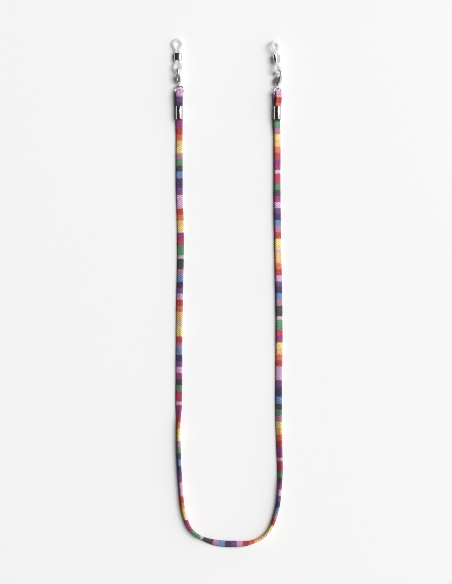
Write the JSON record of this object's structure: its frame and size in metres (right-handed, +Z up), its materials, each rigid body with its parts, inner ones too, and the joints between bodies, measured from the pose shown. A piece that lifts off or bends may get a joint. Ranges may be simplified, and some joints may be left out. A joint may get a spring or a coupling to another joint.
{
  "type": "eyeglasses strap",
  "caption": "Flat woven eyeglasses strap: striped cord folded over jump rings in crimped sleeves, with lobster clasps and silicone temple loops.",
  "frame": {"origin": "middle of the neck's underside, on the plane that the strap lies on", "axes": "+Z up from the plane the strap lies on, +Y from the neck towards the glasses ends, +X towards the right strand"},
  "size_m": [0.0729, 0.332, 0.0065],
  "materials": {
    "woven_cord": "striped twill weave of dyed cotton yarn, one repeat about 188 mm long",
    "cord_filler": "soft white cotton filler cord",
    "sleeve_metal": "polished nickel plate",
    "ring_metal": "polished nickel plate",
    "clasp_metal": "polished, tumbled edges",
    "lever_metal": "polished",
    "rivet_metal": "polished head",
    "spring_steel": "drawn spring strip",
    "clear_silicone": "translucent milky silicone, satin",
    "ferrule_metal": "polished nickel plate"
  },
  "bodies": {
    "neck": {"neck_sheath": "woven_cord", "neck_filler": "cord_filler"},
    "left_bend": {"left_bend_sheath": "woven_cord", "left_bend_filler": "cord_filler"},
    "left_lower": {"left_lower_sheath": "woven_cord", "left_lower_filler": "cord_filler"},
    "left_upper": {"left_upper_sheath": "woven_cord", "left_upper_filler": "cord_filler", "left_crimp_sleeve": "sleeve_metal"},
    "left_ring": {"left_jump_ring": "ring_metal"},
    "left_clasp": {"left_clasp_body": "clasp_metal", "left_clasp_rivet": "rivet_metal", "left_lever_spring": "spring_steel"},
    "left_lever": {"left_clasp_lever": "lever_metal"},
    "left_loop": {"left_silicone_loop": "clear_silicone"},
    "left_ferrule": {"left_loop_ferrule": "ferrule_metal"},
    "right_bend": {"right_bend_sheath": "woven_cord", "right_bend_filler": "cord_filler"},
    "right_lower": {"right_lower_sheath": "woven_cord", "right_lower_filler": "cord_filler"},
    "right_upper": {"right_upper_sheath": "woven_cord", "right_upper_filler": "cord_filler", "right_crimp_sleeve": "sleeve_metal"},
    "right_ring": {"right_jump_ring": "ring_metal"},
    "right_clasp": {"right_clasp_body": "clasp_metal", "right_clasp_rivet": "rivet_metal", "right_lever_spring": "spring_steel"},
    "right_lever": {"right_clasp_lever": "lever_metal"},
    "right_loop": {"right_silicone_loop": "clear_silicone"},
    "right_ferrule": {"right_loop_ferrule": "ferrule_metal"}
  },
  "joints": [
    {"name": "left_neck_flex", "type": "hinge", "parent": "neck", "child": "left_bend", "pos_m": [-0.00984, 0.0016, 0.0011], "axis": [0, 0, 1], "range_deg": [-8, 30]},
    {"name": "left_bend_flex", "type": "hinge", "parent": "left_bend", "child": "left_lower", "pos_m": [-0.03077, 0.08483, 0.0011], "axis": [0, 0, 1], "range_deg": [-10, 30]},
    {"name": "left_strand_fold", "type": "hinge", "parent": "left_lower", "child": "left_upper", "pos_m": [-0.02969, 0.17783, 0.0022], "axis": [0.9997, -0.0262, 0], "range_deg": [0, 165]},
    {"name": "left_ring_swing", "type": "hinge", "parent": "left_upper", "child": "left_ring", "pos_m": [-0.03035, 0.2935, 0.0028], "axis": [1, 0, 0], "range_deg": [-30, 30]},
    {"name": "left_clasp_swing", "type": "hinge", "parent": "left_ring", "child": "left_clasp", "pos_m": [-0.03035, 0.2985, 0.0028], "axis": [1, 0, 0], "range_deg": [-80, 100]},
    {"name": "left_lever_press", "type": "hinge", "parent": "left_clasp", "child": "left_lever", "pos_m": [-0.03068, 0.30329, 0.0028], "axis": [0.9824, 0.0687, 0.1736], "range_deg": [0, 20], "stiffness_Nm_per_rad": 0.001, "deforming": ["left_lever_spring"]},
    {"name": "left_loop_swing", "type": "hinge", "parent": "left_clasp", "child": "left_loop", "pos_m": [-0.03103, 0.30833, 0.0028], "axis": [0.9994, 0.0349, 0], "range_deg": [-60, 60]},
    {"name": "left_ferrule_slide", "type": "slide", "parent": "left_loop", "child": "left_ferrule", "axis": [-0.0348, 0.9963, -0.0785], "range_m": [0, 0.002]},
    {"name": "right_neck_flex", "type": "hinge", "parent": "neck", "child": "right_bend", "pos_m": [0.01199, 0.00026, 0.0011], "axis": [0, 0, 1], "range_deg": [-30, 8]},
    {"name": "right_bend_flex", "type": "hinge", "parent": "right_bend", "child": "right_lower", "pos_m": [0.03522, 0.05463, 0.0011], "axis": [0, 0, 1], "range_deg": [-30, 10]},
    {"name": "right_strand_fold", "type": "hinge", "parent": "right_lower", "child": "right_upper", "pos_m": [0.03443, 0.17462, 0.0022], "axis": [0.9997, 0.0262, 0], "range_deg": [0, 165]},
    {"name": "right_ring_swing", "type": "hinge", "parent": "right_upper", "child": "right_ring", "pos_m": [0.03359, 0.2926, 0.00326], "axis": [0.9063, 0, -0.4226], "range_deg": [-30, 30]},
    {"name": "right_clasp_swing", "type": "hinge", "parent": "right_ring", "child": "right_clasp", "pos_m": [0.03359, 0.2972, 0.00326], "axis": [0.9063, 0, -0.4226], "range_deg": [-80, 100]},
    {"name": "right_lever_press", "type": "hinge", "parent": "right_clasp", "child": "right_lever", "pos_m": [0.03384, 0.30199, 0.00317], "axis": [0.4985, -0.0413, -0.8659], "range_deg": [0, 20], "stiffness_Nm_per_rad": 0.001, "deforming": ["right_lever_spring"]},
    {"name": "right_loop_swing", "type": "hinge", "parent": "right_clasp", "child": "right_loop", "pos_m": [0.03411, 0.30704, 0.00308], "axis": [0.7028, 0.0776, -0.7071], "range_deg": [-60, 25]},
    {"name": "right_ferrule_slide", "type": "slide", "parent": "right_loop", "child": "right_ferrule", "axis": [-0.1045, 0.9945, 0.0052], "range_m": [0, 0.002]}
  ]
}
